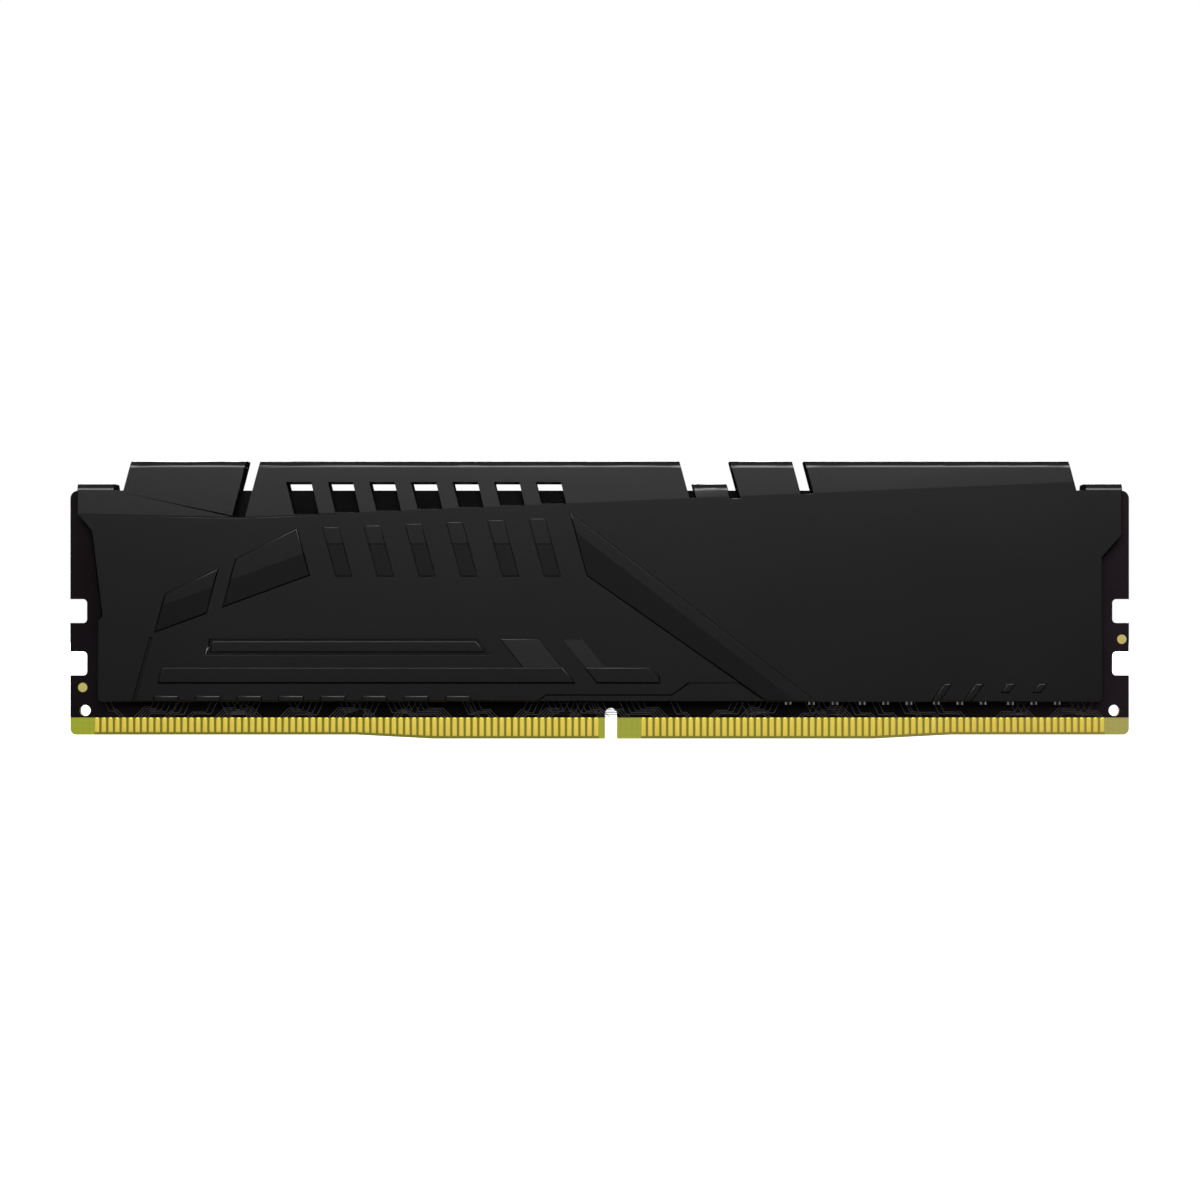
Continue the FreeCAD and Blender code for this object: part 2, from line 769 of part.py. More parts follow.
def sloped_pad(body, name, width, top, foot):
    """Raised patch between two levels, each a height, a left X and its rise above the face."""
    sketches = []
    for order, (level, left, rise) in enumerate((top, foot)):
        sketch = new_sketch(body, f"{name}_{order}", "XY_Plane", level)
        back = f"-{FACE} + sheet/4"
        add_polygon(sketch, box_outline(left, f"{left} + {width}", f"-{FACE} - {rise}", back))
        sketches.append(sketch)
    doc.recompute()
    feature = body.newObject("PartDesign::AdditiveLoft", name)
    feature.Profile = sketches[0]
    feature.Sections = sketches[1:]
    feature.Ruled = True


def bars(body):
    """Long bar, short bar and the two ramps that lead down to them."""
    tall = "(bar_top - bar_bottom)"
    left = f"({LEFT} + bar_left)"
    long_bar = [
        (left, "bar_bottom"),
        ("-bar_right", "bar_bottom"),
        (f"-bar_right - sweep*{tall}", "bar_top"),
        (f"{left} + lean*{tall}", "bar_top"),
    ]
    foot = "(sweep*(frame_top - bar_bottom))"
    short_bar = [
        (f"-thin_ramp_x + {foot}", "bar_bottom"),
        ("short_bar_end", "bar_bottom"),
        ("short_bar_end", "bar_top - short_bar_clip"),
        ("short_bar_end - short_bar_clip/sweep", "bar_top"),
        (f"-thin_ramp_x + {foot} - sweep*{tall}", "bar_top"),
    ]
    for name in ("wide_ramp", "thin_ramp"):
        foot_x = f"(-{name}_x + sweep*(frame_top - bar_top))"
        sloped_pad(body, name, f"{name}_width",
                   ("frame_top", f"(-{name}_x)", "ramp_low"), ("bar_top", foot_x, "ramp_high"))
    pad(body, front_sketch(body, "bars", FACE, [long_bar, short_bar]), "bar_height")


def groove_frame(inset):
    """Outline of the framed bar, drawn in by an inset."""
    tall = "(frame_top - frame_bottom)"
    left = f"({LEFT} + frame_left + {inset}*groove_left_share)"
    right = f"(-frame_right - {inset}*groove_right_share)"
    return [
        (left, f"frame_bottom + {inset}"),
        (f"{right} + frame_clip", f"frame_bottom + {inset}"),
        (f"{right} + frame_clip - sweep*({tall} - 2*{inset})", f"frame_top - {inset}"),
        (f"{left} + lean*({tall} - 2*{inset})", f"frame_top - {inset}"),
    ]


def grooves(body):
    """Engraved lines: the crease line, a slit, the framed bar and the stepped recess."""
    pocket(body, front_sketch(body, "crease_groove", FACE, [crease_line()]), "crease_line_depth")
    frame = [groove_frame("0"), groove_frame("groove_width")]
    pocket(body, front_sketch(body, "frame_groove", FACE, frame), "groove_depth")
    slit_x = f"({LEFT} + slit_x)"
    below = "(plate_bottom - 2*slit_width)"
    reach = f"lean*(slit_top - {below})"
    slit = [
        (slit_x, "slit_top"),
        (f"{slit_x} - {reach}", below),
        (f"{slit_x} - {reach} - slit_width", below),
        (f"{slit_x} - slit_width", "slit_top"),
    ]
    pocket(body, front_sketch(body, "slit", FACE, [slit]), "slit_depth")
    heel_x = f"(rib_apex_x + lean*({RIB_APEX} - {RIB_HEEL}))"
    recess = [
        ("recess_start", "plate_bottom"),
        (f"{heel_x} + ({RIB_HEEL} - plate_bottom)/rib_heel_slope", "plate_bottom"),
        (f"{heel_x} + ({RIB_HEEL} - recess_high)/rib_heel_slope", "recess_high"),
        ("recess_turn + (recess_high - recess_low)/recess_slope", "recess_high"),
        ("recess_turn", "recess_low"),
        ("recess_start + (recess_low - plate_bottom)/recess_slope", "recess_low"),
    ]
    pocket(body, front_sketch(body, "stepped_recess", FACE, [recess]), "recess_depth")


def edge_teeth(body):
    """Row of small raised teeth along the bottom edge, and four marks at its right end."""
    left = f"({LEFT} + tooth_start)"
    tooth = box_outline(left, f"{left} + tooth_width", "plate_bottom", "tooth_top")
    one = pad(body, front_sketch(body, "tooth", FACE, [tooth]), "tooth_height")
    row_pattern(body, one, "tooth_count", "tooth_pitch")
    marks = []
    for order, foot in enumerate(("plate_bottom", "plate_bottom", "mark_short_bottom", "mark_short_bottom")):
        top_x = f"({RIGHT} - mark_start + {order}*mark_pitch)"
        foot_x = f"({top_x} - mark_lean*(mark_top - {foot}))"
        marks.append([
            (top_x, "mark_top"),
            (f"{top_x} + mark_width", "mark_top"),
            (f"{foot_x} + mark_width", foot),
            (foot_x, foot),
        ])
    pad(body, front_sketch(body, "marks", FACE, marks), "mark_height")


def make_spreader():
    """Front half of the heat spreader, stamped and folded from one aluminium sheet."""
    body = new_body("heat_spreader_front")
    folded_sheet(body)
    pocket(body, front_sketch(body, "windows", "0", window_outlines()), THROUGH, True)
    diagonal_rib(body)
    facet(body, "small_facet", "1")
    facet(body, "large_facet", "-1")
    slats(body)
    bars(body)
    edge_teeth(body)
    grooves(body)
    return keep(body, "heat_spreader_front")


# ---------------------------------------------------------------- parts on the board

def make_block(label, x, y, z, width, thickness, tall):
    """Plain block with its lowest corner at X, Y, Z, all bound to the sheet."""
    block = doc.addObject("Part::Box", label)
    for name, expression in (("Length", width), ("Width", thickness), ("Height", tall)):
        block.setExpression(name, bound(expression))
    for axis, expression in zip("xyz", (x, y, z)):
        block.setExpression(f"Placement.Base.{axis}", bound(expression))
    return keep(block, label)


def chip_left(order):
    """Left side of a memory chip: four left of the middle, four right of it."""
    count = int(number("chips_per_bank"))
    if order < count:
        middle = f"({LEFT} + chip_end_keepout + ({order} + 0.5)*{CHIP_PITCH})"
    else:
        middle = f"(chip_centre_keepout + ({order - count} + 0.5)*{CHIP_PITCH})"
    return f"({middle} - chip_width/2)"


def make_chips():
    """Memory chips, front and rear, held a ball's height off the board."""
    for order in range(2 * int(number("chips_per_bank"))):
        left = chip_left(order)
        size = ("chip_width", "chip_thickness", "chip_tall")
        make_block(f"memory_chip_front_{order + 1}", left, f"-{CHIP_TOP}", "chip_foot", *size)
        make_block(f"memory_chip_rear_{order + 1}", left, f"{SKIN} + ball_height", "chip_foot", *size)


def make_balls():
    """Solder balls under the front chips: two blocks of columns under each, all in one row body."""
    body = new_body("solder_balls_front")
    circles = []
    for order in range(2 * int(number("chips_per_bank"))):
        middle = f"({chip_left(order)} + chip_width/2)"
        for column in range(int(number("ball_columns"))):
            away = f"(ball_column_gap/2 + {column}*ball_pitch)"
            circles.append(((f"{middle} - {away}", BALL_FOOT), "ball_diameter"))
            circles.append(((f"{middle} + {away}", BALL_FOOT), "ball_diameter"))
    one = pad(body, front_sketch(body, "ball_row", SKIN, [], circles), "ball_height")
    pattern = row_pattern(body, one, "ball_rows", "ball_pitch")
    pattern.Direction = (one.Profile[0], ["V_Axis"])
    doc.recompute()
    return keep(body, "solder_balls_front")


def make_thermal_pads():
    """Soft pads that carry heat from the parts to the spreader and hold it by their tack."""
    wall = f"({FACE} - sheet)"
    reach = "pad_overlap"
    bank = f"({CHIP_PITCH}*chips_per_bank)"
    low = f"chip_foot + {reach}"
    tall = f"chip_tall - 2*{reach}"
    for side, edge in (("left", f"{LEFT} + chip_end_keepout"), ("right", "chip_centre_keepout")):
        size = (bank, f"{wall} - {CHIP_TOP}", tall)
        make_block(f"thermal_pad_front_{side}", edge, f"-{wall}", low, *size)
        make_block(f"thermal_pad_rear_{side}", edge, CHIP_TOP, low, *size)
    top = f"({SKIN} + inductor_thickness)"
    span = "(2*inductor_spacing + inductor_size)"
    size = (span, f"{wall} - {top}", "inductor_size")
    make_block("thermal_pad_power", f"-{span}/2", f"-{wall}", "inductor_foot", *size)


def make_power_parts():
    """Voltage controller, its three inductors and the identity hub, front middle."""
    front = f"-{SKIN}"
    size = "controller_size"
    make_block("voltage_controller", f"-{size}/2", f"{front} - controller_thickness", "controller_foot",
               size, "controller_thickness", size)
    for order in range(3):
        middle = f"({order} - 1)*inductor_spacing"
        place = (f"{middle} - inductor_size/2", f"{front} - inductor_thickness", "inductor_foot")
        coil = ("inductor_size", "inductor_thickness", "inductor_size")
        make_block(f"power_inductor_{order + 1}", *place, *coil)
    place = ("inductor_spacing - hub_width/2", f"{front} - hub_thickness", "controller_foot")
    make_block("identity_hub", *place, "hub_width", "hub_thickness", "hub_tall")


def make_small_parts(name, kind, first, foot, repeat):
    """A row of two-ended parts: their bodies in one node, and their solder ends in another."""
    long = f"{kind}_length"
    end = f"{kind}_end"
    body_part = new_body(name)
    outline = box_outline(f"{first} + {end}", f"{first} + {long} - {end}", foot, f"{foot} + {kind}_width")
    one = pad(body_part, front_sketch(body_part, name + "_middle", SKIN, [outline]), f"{kind}_thickness")
    repeat(body_part, one)
    keep(body_part, name)
    ends = new_body(name + "_ends")
    pair = [
        box_outline(first, f"{first} + {end}", foot, f"{foot} + {kind}_width"),
        box_outline(f"{first} + {long} - {end}", f"{first} + {long}", foot, f"{foot} + {kind}_width"),
    ]
    one = pad(ends, front_sketch(ends, name + "_tips", SKIN, pair), f"{kind}_thickness")
    repeat(ends, one)
    keep(ends, name + "_ends")
    return body_part, ends


def make_passives():
    """Decoupling capacitors under the chips, bulk capacitors, and damping resistors."""
    count = "floor((board_length - 2*chip_end_keepout - cap_length)/cap_pitch) + 1"
    first = f"({LEFT} + chip_end_keepout)"
    row = make_small_parts("capacitors_front", "cap", first, "cap_foot",
                           lambda body, one: row_pattern(body, one, f"({count})", "cap_pitch"))
    mirror(row[0], "capacitors_rear")
    mirror(row[1], "capacitors_rear_ends")
    bulk_first = "(-1.5*bulk_cap_spacing - bulk_cap_length/2)"
    bulk_foot = "controller_foot + controller_size + bulk_cap_clearance"
    make_small_parts("bulk_capacitors", "bulk_cap", bulk_first, bulk_foot,
                     lambda body, one: row_pattern(body, one, "4", "bulk_cap_spacing"))

    def trios(body, one):
        pattern = row_pattern(body, one, "3", "resistor_pitch")
        pattern.Direction2 = (one.Profile[0], ["H_Axis"])
        pattern.setExpression("Length2", bound("3*resistor_trio_pitch"))
        pattern.Occurrences2 = 4
        doc.recompute()

    resistor_first = f"({RIGHT} - resistor_start)"
    make_small_parts("damping_resistors", "resistor", resistor_first, "resistor_foot", trios)


# ---------------------------------------------------------------- assembly and files

def make_all():
    """Build every sub-part from the board outwards."""
    make_board()
    mirror(make_mask(), "solder_mask_rear")
    mirror(make_fiducials(), "alignment_pads_rear")
    left_run = "(key_x - key_to_left_bank + board_length/2 - contact_end_margin)"
    left_count = f"(floor({left_run}/contact_pitch + 0.01) + 1)"
    left_first = f"(key_x - key_to_left_bank - ({left_count} - 1)*contact_pitch)"
    right_run = "(board_length/2 - contact_end_margin - key_x - key_to_right_bank)"
    right_count = f"(floor({right_run}/contact_pitch + 0.01) + 1)"
    mirror(make_contacts("contacts_front_left", left_first, left_count), "contacts_rear_left")
    right_first = "(key_x + key_to_right_bank)"
    mirror(make_contacts("contacts_front_right", right_first, right_count), "contacts_rear_right")
    make_power_parts()
    make_passives()
    make_chips()
    mirror(make_balls(), "solder_balls_rear")
    make_thermal_pads()
    mirror(make_spreader(), "heat_spreader_rear")
    doc.recompute()


def check_document():
    """Stop with a plain message if any object failed or any sub-part is not a sound solid."""
    for item in doc.Objects:
        assert not {"Invalid", "Error"} & set(item.State), f"{item.Name} failed: {item.State}"
    for piece in pieces:
        shape = piece.Shape
        assert not shape.isNull() and shape.isValid(), f"{piece.Label} has no sound shape"
        assert shape.Solids, f"{piece.Label} has no solid"


def write_files():
    """Write each sub-part to its own file, named by its label."""
    os.makedirs("parts", exist_ok=True)
    for piece in pieces:
        piece.Shape.exportStep(f"parts/{piece.Label}.step")
        box = piece.Shape.BoundBox
        print(f"{piece.Label}: {len(piece.Shape.Solids)} solids,"
              f" x {box.XMin:.2f}..{box.XMax:.2f}, y {box.YMin:.2f}..{box.YMax:.2f},"
              f" z {box.ZMin:.2f}..{box.ZMax:.2f}")


make_all()
check_document()
write_files()
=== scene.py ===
import math

import bmesh
import bpy
import numpy as np
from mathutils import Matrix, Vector


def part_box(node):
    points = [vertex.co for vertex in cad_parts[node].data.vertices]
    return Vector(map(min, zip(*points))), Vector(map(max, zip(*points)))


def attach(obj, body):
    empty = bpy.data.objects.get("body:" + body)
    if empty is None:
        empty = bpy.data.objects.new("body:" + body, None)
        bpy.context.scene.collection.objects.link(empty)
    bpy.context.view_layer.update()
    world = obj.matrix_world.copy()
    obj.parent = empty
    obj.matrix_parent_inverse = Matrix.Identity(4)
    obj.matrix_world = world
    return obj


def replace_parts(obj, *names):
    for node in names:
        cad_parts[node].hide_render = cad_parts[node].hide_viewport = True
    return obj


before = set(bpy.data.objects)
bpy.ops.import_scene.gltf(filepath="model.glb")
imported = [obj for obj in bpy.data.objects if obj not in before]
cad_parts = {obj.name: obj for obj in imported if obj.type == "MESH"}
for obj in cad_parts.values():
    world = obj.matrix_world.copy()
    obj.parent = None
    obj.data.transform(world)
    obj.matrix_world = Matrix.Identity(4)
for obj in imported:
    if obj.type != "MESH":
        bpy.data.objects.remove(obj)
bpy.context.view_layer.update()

# ----------------------------------------------------------------- circuit board
# The board is a sheet of woven glass cloth in cured resin, routed to shape. It shows bare
# along the contact edge, where the resin looks yellow green and the cloth shows faintly.


class Signal:
    """A value in a finish's node tree. Arithmetic on it adds the Math node that does the sum."""

    def __init__(self, finish, socket):
        self.finish = finish
        self.socket = socket

    def math(self, operation, first, second=0.0, clamp=False):
        settings = {"operation": operation, "use_clamp": clamp}
        return self.finish.node("ShaderNodeMath", settings, {0: first, 1: second})

    def __add__(self, other):
        return self.math("ADD", self, other)

    def __sub__(self, other):
        return self.math("SUBTRACT", self, other)

    def __rsub__(self, other):
        return self.math("SUBTRACT", other, self)

    def __mul__(self, other):
        return self.math("MULTIPLY", self, other)

    def __truediv__(self, other):
        return self.math("DIVIDE", self, other)

    def __pow__(self, other):
        return self.math("POWER", self, other)

    def over(self, other):
        """One where this value is above the other, else zero."""
        return self.math("GREATER_THAN", self, other)

    def clipped(self):
        """This value held between zero and one."""
        return self.math("ADD", self, 0.0, clamp=True)

    __radd__ = __add__
    __rmul__ = __mul__


class Finish:
    """A material built from nodes around one Principled shader, read in object coordinates."""

    def __init__(self, name, **constants):
        self.material = bpy.data.materials.new(name)
        self.material.use_nodes = True
        self.tree = self.material.node_tree
        self.shader = self.tree.nodes["Principled BSDF"]
        for key, value in constants.items():
            socket = self.shader.inputs[key.replace("_", " ").title().replace("Ior", "IOR")]
            socket.default_value = value
        self.place = self.node("ShaderNodeTexCoord", {}, {}, "Object")

    def node(self, kind, settings, inputs, output=0):
        """Add a node: its settings first, then its inputs, each a number, a colour or a Signal."""
        made = self.tree.nodes.new(kind)
        for key, value in settings.items():
            if key == "stops":
                self.set_stops(made.color_ramp, value)
            else:
                setattr(made, key, value)
        for key, value in inputs.items():
            if isinstance(value, Signal):
                self.tree.links.new(value.socket, made.inputs[key])
            else:
                made.inputs[key].default_value = value
        return Signal(self, made.outputs[output])

    @staticmethod
    def set_stops(ramp, stops):
        """Give a ramp its stops, each a position and a colour."""
        while len(ramp.elements) < len(stops):
            ramp.elements.new(0.5)
        for element, (position, colour) in zip(ramp.elements, stops):
            element.position = position
            element.color = colour

    def axis(self, name):
        """One coordinate of the place on the piece, in metres."""
        return self.node("ShaderNodeSeparateXYZ", {}, {0: self.place}, name)

    def noise(self, scale, detail=2.0, stretch=(1.0, 1.0, 1.0)):
        """Cloudy value from zero to one, so many cycles to the metre, stretched along the axes."""
        mapped = self.node("ShaderNodeMapping", {}, {"Vector": self.place, "Scale": stretch})
        return self.node("ShaderNodeTexNoise", {}, {"Vector": mapped, "Scale": scale, "Detail": detail})

    def mix(self, amount, low, high):
        """Colour between low and high."""
        settings = {"data_type": "RGBA"}
        return self.node("ShaderNodeMix", settings, {0: amount, 6: low, 7: high}, 2)

    def show(self, **channels):
        """Link what varies over the surface to the shader, and turn a height into its bump."""
        height = channels.pop("height", None)
        depth = channels.pop("depth", 0.00001)
        if height is not None:
            bump = self.node("ShaderNodeBump", {}, {"Height": height, "Distance": depth})
            channels["Normal"] = bump
        for key, value in channels.items():
            self.tree.links.new(value.socket, self.shader.inputs[key.replace("_", " ")])
        return self.material


BOARD_LENGTH = 0.13335
YARNS = 9000.0
contact_box = {side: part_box("contacts_front_" + side) for side in ("left", "right")}


def laminate_finish():
    """Resin with a plain weave of glass under it, a little browner towards the right and darker between
    the contacts.
    """
    finish = Finish("bare_laminate", roughness=0.5, specular_ior_level=0.3)
    across = finish.axis("X")
    warp = finish.node("ShaderNodeMath", {"operation": "SINE"}, {0: across * YARNS})
    weft = finish.node("ShaderNodeMath", {"operation": "SINE"}, {0: finish.axis("Z") * YARNS})
    weave = (warp + 1.0) * 0.5 * ((weft + 1.0) * 0.5)
    tint = (across / BOARD_LENGTH + 0.5).clipped() ** 2.5
    resin = finish.mix(tint, (0.32, 0.36, 0.014, 1), (0.38, 0.34, 0.085, 1))
    cloth = finish.mix(tint, (0.48, 0.50, 0.05, 1), (0.50, 0.47, 0.14, 1))
    cloudy = finish.noise(900.0, 3.0)
    clear = finish.mix((weave * 0.2 + cloudy * 0.25).clipped(), resin, cloth)
    banks = sum(across.over(low.x) * (1.0 - across.over(high.x)) for low, high in contact_box.values())
    # A darker resin colour is mixed in across the width of each contact bank, so the laminate is darker
    # between the contacts.
    darker_between_contacts = finish.mix(tint, (0.19, 0.18, 0.008, 1), (0.29, 0.23, 0.045, 1))
    body = finish.mix(banks, clear, darker_between_contacts)
    return finish.show(Base_Color=body, height=weave, depth=0.000004)


def coat_node(name, material):
    """Give a carried-over piece its finish."""
    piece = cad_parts[name]
    piece.data.materials.clear()
    piece.data.materials.append(material)


coat_node("circuit_board", laminate_finish())

# ----------------------------------------------------------------- black lacquer and its traces
# Both faces of the board are screen-printed with black lacquer down to the contacts.
# Copper tracks under it stand up as fine ridges that fan out from every contact.


def lacquer_finish():
    """Glossy near-black lacquer with a trace of purple brown and a faint orange-peel skin, painted paler
    towards the ends as painted light and darker in the middle as painted shade.
    """
    finish = Finish("black_lacquer", specular_ior_level=0.5)
    patches = finish.noise(120.0, 4.0)
    across = finish.axis("X") / BOARD_LENGTH
    # Painted light: the lacquer is painted paler towards both ends of the board, the right end most, where
    # the board stands clear of the spreader's shade. The darkest colour, left in the middle, is painted
    # shade of the spreader.
    painted_light_left_end = (0.5 - across).clipped() ** 12.0
    painted_light_right_end = (across + 0.5).clipped() ** 12.0
    patches_and_painted_end_light = (patches * 0.12 + painted_light_left_end * 0.45 + painted_light_right_end * 1.1).clipped()
    colour = finish.mix(patches_and_painted_end_light, (0.0008, 0.0006, 0.0008, 1), (0.0130, 0.0085, 0.0115, 1))
    skin = finish.noise(4500.0, 2.0)
    rough = patches * 0.08 + 0.14
    return finish.show(Base_Color=colour, Roughness=rough, height=skin, depth=0.000003)


LACQUER = lacquer_finish()
for face in ("front", "rear"):
    coat_node("solder_mask_" + face, LACQUER)


def new_piece(name, points, faces, material, smooth=True):
    """Make one mesh piece from arrays of points and faces, and let it ride on the module."""
    mesh = bpy.data.meshes.new(name)
    mesh.from_pydata(np.asarray(points).tolist(), [], np.asarray(faces).tolist())
    mesh.validate()
    mesh.polygons.foreach_set("use_smooth", np.full(len(mesh.polygons), smooth))
    mesh.materials.append(material)
    piece = bpy.data.objects.new(name, mesh)
    bpy.context.scene.collection.objects.link(piece)
    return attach(piece, "root")


def ribbon(path, width, height, base_y, outward):
    """Ridge along a path in X and Z: a trapezium section carried from point to point.

    Each point's sideways direction is the mean of the directions of the runs beside it,
    turned a quarter; the four corners of the section stand on it at plus and minus half a width.
    """
    path = np.asarray(path, float)
    runs = np.diff(path, axis=0)
    runs /= np.linalg.norm(runs, axis=1)[:, None]
    before = np.vstack([runs[:1], runs])
    after = np.vstack([runs, runs[-1:]])
    mean = before + after
    mean /= np.linalg.norm(mean, axis=1)[:, None]
    side = np.stack([-mean[:, 1], mean[:, 0]], axis=1)
    mitre = 1.0 / np.clip(np.sum(mean * before, axis=1), 0.5, 1.0)
    offsets = np.array([-0.5, -0.32, 0.32, 0.5]) * width
    rises = np.array([0.0, 1.0, 1.0, 0.0]) * height
    flat = path[:, None, :] + side[:, None, :] * (offsets[None, :, None] * mitre[:, None, None])
    depth = np.broadcast_to(base_y + outward * rises, flat.shape[:2])
    points = np.stack([flat[..., 0], depth, flat[..., 1]], axis=-1).reshape(-1, 3)
    count = len(path)
    first = (np.arange(count - 1)[:, None] * 4 + np.arange(4)[None, :]).ravel()
    step = np.tile([1, 1, 1, -3], count - 1)
    faces = np.stack([first, first + 4, first + 4 + step, first + step], axis=1)
    caps = np.array([[0, 1, 2, 3], np.array([3, 2, 1, 0]) + 4 * (count - 1)])
    faces = np.vstack([faces, caps])
    return points, faces if outward > 0 else faces[:, ::-1]


def joined(parts):
    """Put many small shapes' points and faces into one pair of arrays."""
    points, faces, start = [], [], 0
    for some_points, some_faces in parts:
        points.append(some_points)
        faces.append(np.asarray(some_faces) + start)
        start += len(some_points)
    return np.vstack(points), np.vstack(faces)


mask_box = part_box("solder_mask_front")
CONTACT_PITCH = 0.00085
CONTACT_WIDTH = 0.0006
TRACE_CLIMB = 0.0034
TRACE_SPACING = 0.00021
TRACE_WIDTH = 0.0001
TRACE_HEIGHT = 0.000018


def contact_centres(side):
    """X of each contact of one bank, from the bank's box and the pitch."""
    low, high = contact_box[side]
    count = round((high.x - low.x - CONTACT_WIDTH) / CONTACT_PITCH) + 1
    return low.x + CONTACT_WIDTH / 2 + CONTACT_PITCH * np.arange(count)


def trace_paths(rng):
    """Bundles of tracks that leave the contacts at 45 degrees, run level and turn up again.

    The tracks of a bundle start half a contact pitch apart. The one that starts furthest back
    climbs highest, by one spacing for each track, so that they never cross. A track that
    would pass the end of the contacts is left out.
    """
    bottom = mask_box[0].z
    top = bottom + TRACE_CLIMB
    spacing = TRACE_SPACING
    paths = []
    x = contact_centres("left")[0]
    last = contact_centres("right")[-1]
    while x < last:
        count = int(rng.integers(2, 6))
        lean = rng.choice([-1, 1])
        rise = rng.uniform(0.0001, 0.0004)
        run = rng.uniform(0.0001, 0.0021)
        for order in range(count):
            back = count - 1 - order if lean > 0 else order
            start = x + order * CONTACT_PITCH / 2
            level = bottom + rise + spacing * (back + 1)
            turn = start + lean * (level - bottom)
            leave = turn + lean * (run + spacing * 2 * (count - 1 - back))
            end = leave + lean * (top - level) * 0.5
            if contact_box["left"][0].x < end < contact_box["right"][1].x:
                paths.append([(start, bottom), (turn, level), (leave, level), (end, top)])
        x += count * CONTACT_PITCH / 2 + run + rng.uniform(0.0004, 0.0014)
    return paths


def track_finish():
    """Lacquer stretched thin over a copper track: paler, duller and a little brown."""
    finish = Finish("lacquer_over_copper", specular_ior_level=0.6)
    patches = finish.noise(1500.0, 2.0)
    colour = finish.mix(patches, (0.007, 0.006, 0.007, 1), (0.055, 0.050, 0.053, 1))
    return finish.show(Base_Color=colour, Roughness=patches * 0.1 + 0.24, height=patches, depth=0.000003)


TRACK = track_finish()
for face, outward in (("front", -1), ("rear", 1)):
    rng = np.random.default_rng(11 if outward < 0 else 12)
    surface = outward * abs(mask_box[0].y)
    ridges = [ribbon(path, TRACE_WIDTH, TRACE_HEIGHT, surface, outward) for path in trace_paths(rng)]
    points, faces = joined(ridges)
    new_piece("lacquered_traces_" + face, points, faces, TRACK, smooth=False)

# ----------------------------------------------------------------- gold contacts
# Each contact is a copper pad plated with nickel and hard gold. Its upper end is rounded,
# its edges are eased by etching, and the lower end follows the board's stepped edge.


def gold_finish(name, dull, bright):
    """Gold with fine upright wiping marks and slightly uneven plating."""
    finish = Finish(name, metallic=0.62)
    scratches = finish.noise(9000.0, 2.0, (1.0, 1.0, 0.05))
    patches = finish.noise(700.0, 2.0)
    colour = finish.mix(patches, (*dull, 1), (*bright, 1))
    rough = scratches * 0.12 + 0.35
    return finish.show(Base_Color=colour, Roughness=rough, height=scratches, depth=0.0000015)


GOLD = gold_finish("hard_gold", (0.95, 0.70, 0.08), (1.0, 0.81, 0.13))
PALE_GOLD = gold_finish("immersion_gold", (0.60, 0.52, 0.17), (0.72, 0.62, 0.22))
board_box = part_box("circuit_board")
KEY_X = 0.001425
EDGE_STEP = 0.0005
LEFT_RAMP = (0.0223, 0.0322)
RIGHT_RAMP = (0.0330, 0.0428)
FOOT_GAP = 0.0003
PAD_TOP_CORNER = 0.00022
PAD_FOOT_CORNER = 0.00008


def board_foot(x):
    """Height of the board's lower edge: level, with a straight ramp up on each side of the key."""
    away = x - KEY_X
    left = np.interp(-away, LEFT_RAMP, [0.0, EDGE_STEP])
    right = np.interp(away, RIGHT_RAMP, [0.0, EDGE_STEP])
    return np.where(away < 0, left, right)


def plated_pads(centres, base_y, outward):
    """Plated pads: rings of points round each pad, drawn in and raised towards a gently domed top.

    A ring is a tall rectangle with round corners, sampled by angle: each point is the corner's
    centre plus the corner radius times the angle's cosine and sine.
    """
    top = mask_box[0].z
    angles = np.radians(np.concatenate([np.linspace(0, 90, 5) + 90 * quarter for quarter in range(4)]))
    sign_x = np.repeat([1, -1, -1, 1], 5)
    upper = np.repeat([True, True, False, False], 5)
    rings = [(0.0, 0.0), (0.000006, 0.00002), (0.00003, 0.000032), (0.00012, 0.000035)]
    parts = []
    for x in centres:
        foot = board_foot(np.array([x - CONTACT_WIDTH / 2, x + CONTACT_WIDTH / 2])) + FOOT_GAP
        rows = []
        for inset, rise in rings:
            half = CONTACT_WIDTH / 2 - inset
            corner = np.minimum(np.where(upper, PAD_TOP_CORNER, PAD_FOOT_CORNER), half)
            ring_x = x + sign_x * (half - corner) + corner * np.cos(angles)
            low = np.where(sign_x < 0, foot[0], foot[1]) + inset + corner
            high = top - inset - corner
            ring_z = np.where(upper, high, low) + corner * np.sin(angles)
            rows.append(np.stack([ring_x, np.full(20, base_y + outward * rise), ring_z], axis=1))
        points = np.vstack(rows)
        here = np.arange(20)
        there = (here + 1) % 20
        walls = [np.stack([here, there, there + 20, here + 20], axis=1) + 20 * ring for ring in range(3)]
        lid = np.array([[60 + a, 60 + a + 1, 60 + (18 - a), 60 + (19 - a)] for a in range(9)])
        base = np.array([[a, 19 - a, 18 - a, a + 1] for a in range(9)])
        faces = np.vstack(walls + [lid, base])
        parts.append((points, faces if outward < 0 else faces[:, ::-1]))
    return joined(parts)


for face, outward in (("front", -1), ("rear", 1)):
    for side in ("left", "right"):
        surface = outward * abs(board_box[0].y)
        points, faces = plated_pads(contact_centres(side), surface, outward)
        name = f"contacts_{face}_{side}"
        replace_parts(new_piece("gold_" + name, points, faces, GOLD), name)
    coat_node("alignment_pads_" + face, PALE_GOLD)

# ----------------------------------------------------------------- chips and small parts
# Memory chips are moulded black resin on a grid of solder balls; the power parts sit between
# them; the small ceramic parts have tinned ends. All of it is soldered to the board.

EASED_FROM = math.radians(35)
EASED_TO = math.radians(150)
NARROW_CORNER = math.radians(20)
NARROW_WALL = 0.0004
THINNEST_EASED = 0.00006
OPEN_SHARE = 0.8


